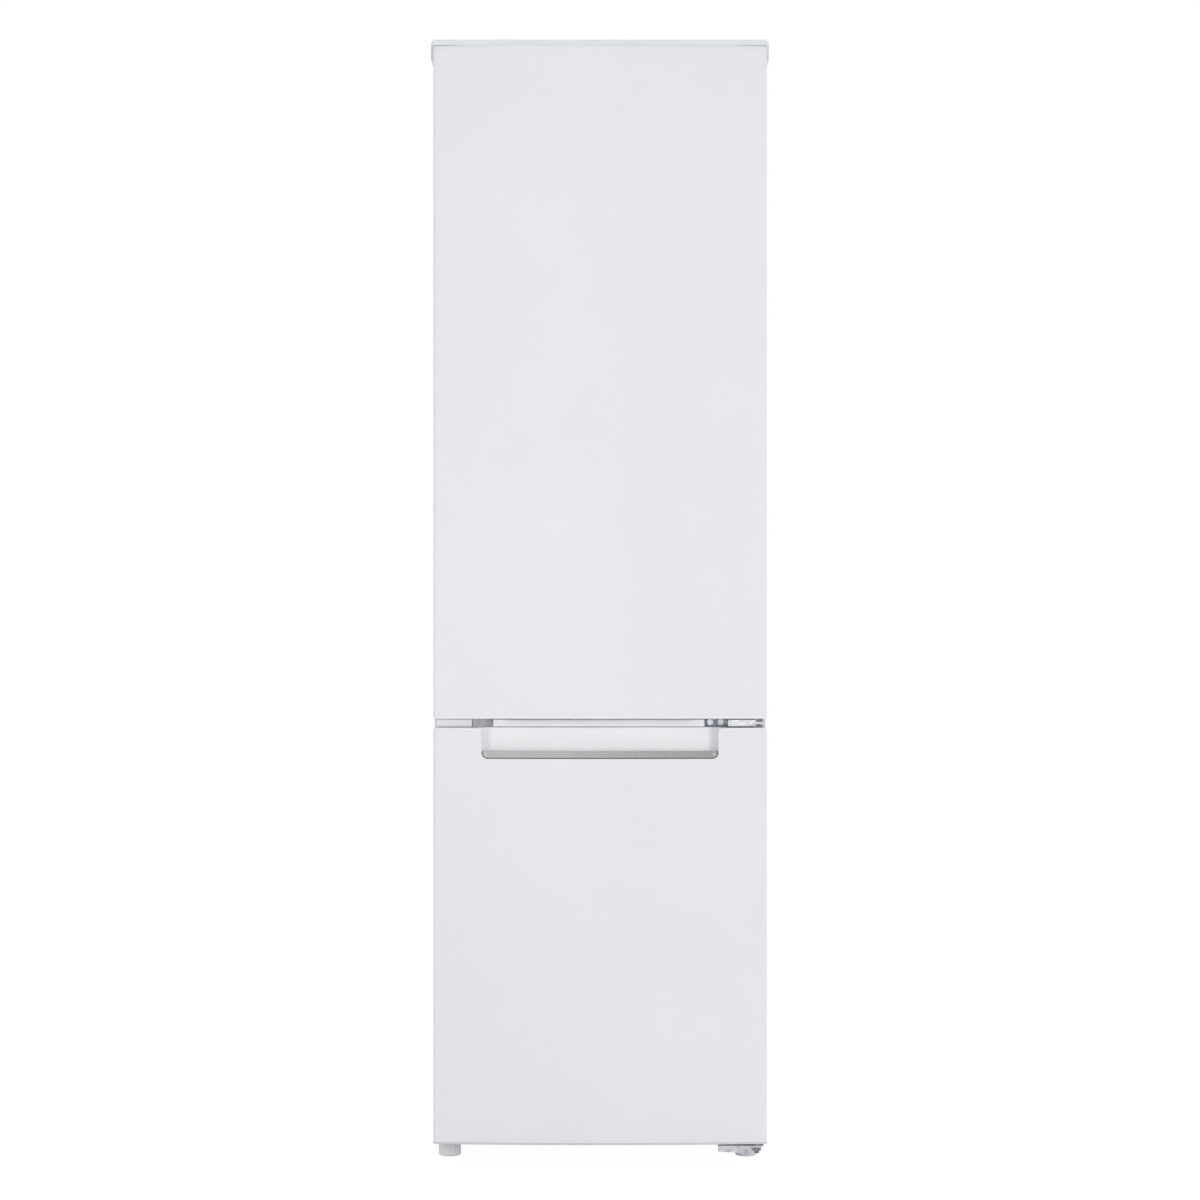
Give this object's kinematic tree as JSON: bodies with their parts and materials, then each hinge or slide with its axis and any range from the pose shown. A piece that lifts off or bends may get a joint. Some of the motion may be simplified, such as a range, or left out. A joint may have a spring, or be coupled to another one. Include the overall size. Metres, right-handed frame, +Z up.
{
  "type": "fridge freezer",
  "caption": "Tall free-standing fridge freezer with a fridge door over a freezer door, a scooped grip notch, glass shelves, drawers, levelling feet and a rear condenser.",
  "frame": {"origin": "on the floor, under the middle of the overall width and depth", "axes": "+Z up, doors towards -Y, door hinges on the +X side"},
  "size_m": [0.544, 0.56, 1.8],
  "materials": {
    "white_paint": "smooth satin paint",
    "white_plastic": "semi-gloss moulding",
    "liner_plastic": "gloss vacuum-formed sheet",
    "insulation": "rigid foam",
    "zinc_steel": "zinc plated",
    "satin_metal": "satin anodised",
    "black_paint": "semi-gloss paint",
    "white_tube": "white coated tube",
    "copper": "drawn copper",
    "black_rubber": "matt",
    "seal_rubber": "matt",
    "black_plastic": "fine grain",
    "grey_plastic": "fine grain",
    "shelf_glass": "float glass",
    "clear_plastic": "clear moulding",
    "frosted_plastic": "frosted moulding"
  },
  "bodies": {
    "cabinet": {"cabinet_wrapper": "white_paint", "centre_rail": "white_paint", "top_lid": "white_plastic", "centre_blanks": "white_plastic", "lamp_housing": "white_plastic", "shelf_trims": "white_plastic", "fridge_liner": "liner_plastic", "freezer_liner": "liner_plastic", "cabinet_foam": "insulation", "back_panel": "zinc_steel", "base_frame": "zinc_steel", "top_hinge": "zinc_steel", "centre_hinge": "zinc_steel", "bottom_hinge": "zinc_steel", "hinge_pins": "zinc_steel", "hinge_screws": "zinc_steel", "roller_axles": "zinc_steel", "compressor": "black_paint", "condenser_tube": "black_paint", "condenser_wires": "black_paint", "evaporators": "white_tube", "filter_drier": "copper", "refrigerant_lines": "copper", "compressor_mounts": "black_rubber", "terminal_cover": "black_plastic", "evaporation_tray": "black_plastic", "crisper_cover": "shelf_glass", "shelf_glass_lower": "shelf_glass", "shelf_glass_middle": "shelf_glass", "shelf_glass_upper": "shelf_glass", "lamp_cover": "clear_plastic"},
    "fridge_door": {"fridge_door_skin": "white_paint", "fridge_door_top_cap": "white_plastic", "fridge_door_bottom_cap": "white_plastic", "fridge_door_foam": "insulation", "fridge_door_liner": "liner_plastic", "fridge_door_gasket": "seal_rubber", "bottle_balcony": "clear_plastic", "door_balcony_lower": "clear_plastic", "door_balcony_middle": "clear_plastic", "door_balcony_upper": "clear_plastic"},
    "freezer_door": {"freezer_door_skin": "white_paint", "freezer_door_top_cap": "white_plastic", "handle_strip": "satin_metal", "freezer_door_bottom_cap": "white_plastic", "freezer_door_foam": "insulation", "freezer_door_liner": "liner_plastic", "freezer_door_gasket": "seal_rubber"},
    "foot_left": {"foot_stem_left": "zinc_steel", "foot_pad_left": "grey_plastic"},
    "foot_right": {"foot_stem_right": "zinc_steel", "foot_pad_right": "grey_plastic"},
    "rear_roller_left": {"rear_roller_left": "grey_plastic"},
    "rear_roller_right": {"rear_roller_right": "grey_plastic"},
    "thermostat_knob": {"thermostat_knob": "white_plastic"},
    "light_switch": {"light_switch": "white_plastic"},
    "crisper_drawer": {"crisper_drawer": "clear_plastic"},
    "freezer_drawer_lower": {"freezer_drawer_lower": "frosted_plastic"},
    "freezer_drawer_middle": {"freezer_drawer_middle": "frosted_plastic"},
    "freezer_drawer_upper": {"freezer_drawer_upper": "frosted_plastic"}
  },
  "joints": [
    {"name": "fridge_door_hinge", "type": "hinge", "parent": "cabinet", "child": "fridge_door", "pos_m": [0.2505, -0.252, 1.245], "axis": [0, 0, 1], "range_deg": [0, 120]},
    {"name": "freezer_door_hinge", "type": "hinge", "parent": "cabinet", "child": "freezer_door", "pos_m": [0.2505, -0.252, 0.36275], "axis": [0, 0, 1], "range_deg": [0, 120]},
    {"name": "thermostat_knob_turn", "type": "hinge", "parent": "cabinet", "child": "thermostat_knob", "pos_m": [0.104, -0.142, 1.706], "axis": [0, 0, 1], "range_deg": [-135, 135]},
    {"name": "light_switch_slide", "type": "slide", "parent": "cabinet", "child": "light_switch", "axis": [0, -1, 0], "range_m": [0, 0.006]},
    {"name": "crisper_drawer_slide", "type": "slide", "parent": "cabinet", "child": "crisper_drawer", "axis": [0, -1, 0], "range_m": [0, 0.02]},
    {"name": "freezer_drawer_lower_slide", "type": "slide", "parent": "cabinet", "child": "freezer_drawer_lower", "axis": [0, -1, 0], "range_m": [0, 0.02]},
    {"name": "freezer_drawer_middle_slide", "type": "slide", "parent": "cabinet", "child": "freezer_drawer_middle", "axis": [0, -1, 0], "range_m": [0, 0.02]},
    {"name": "freezer_drawer_upper_slide", "type": "slide", "parent": "cabinet", "child": "freezer_drawer_upper", "axis": [0, -1, 0], "range_m": [0, 0.02]},
    {"name": "foot_left_turn", "type": "hinge", "parent": "cabinet", "child": "foot_left", "pos_m": [-0.243, -0.19, 0.01], "axis": [0, 0, 1], "range_deg": [-1080, 1080]},
    {"name": "rear_roller_left_spin", "type": "hinge", "parent": "cabinet", "child": "rear_roller_left", "pos_m": [-0.225, 0.224, 0.013], "axis": [1, 0, 0], "continuous": true},
    {"name": "foot_right_turn", "type": "hinge", "parent": "cabinet", "child": "foot_right", "pos_m": [0.236, -0.19, 0.01], "axis": [0, 0, 1], "range_deg": [-1080, 1080]},
    {"name": "rear_roller_right_spin", "type": "hinge", "parent": "cabinet", "child": "rear_roller_right", "pos_m": [0.225, 0.224, 0.013], "axis": [1, 0, 0], "continuous": true}
  ],
  "couplings": [
    {"joint": "light_switch_slide", "follows": "fridge_door_hinge", "m_per_rad": 0.0028}
  ]
}
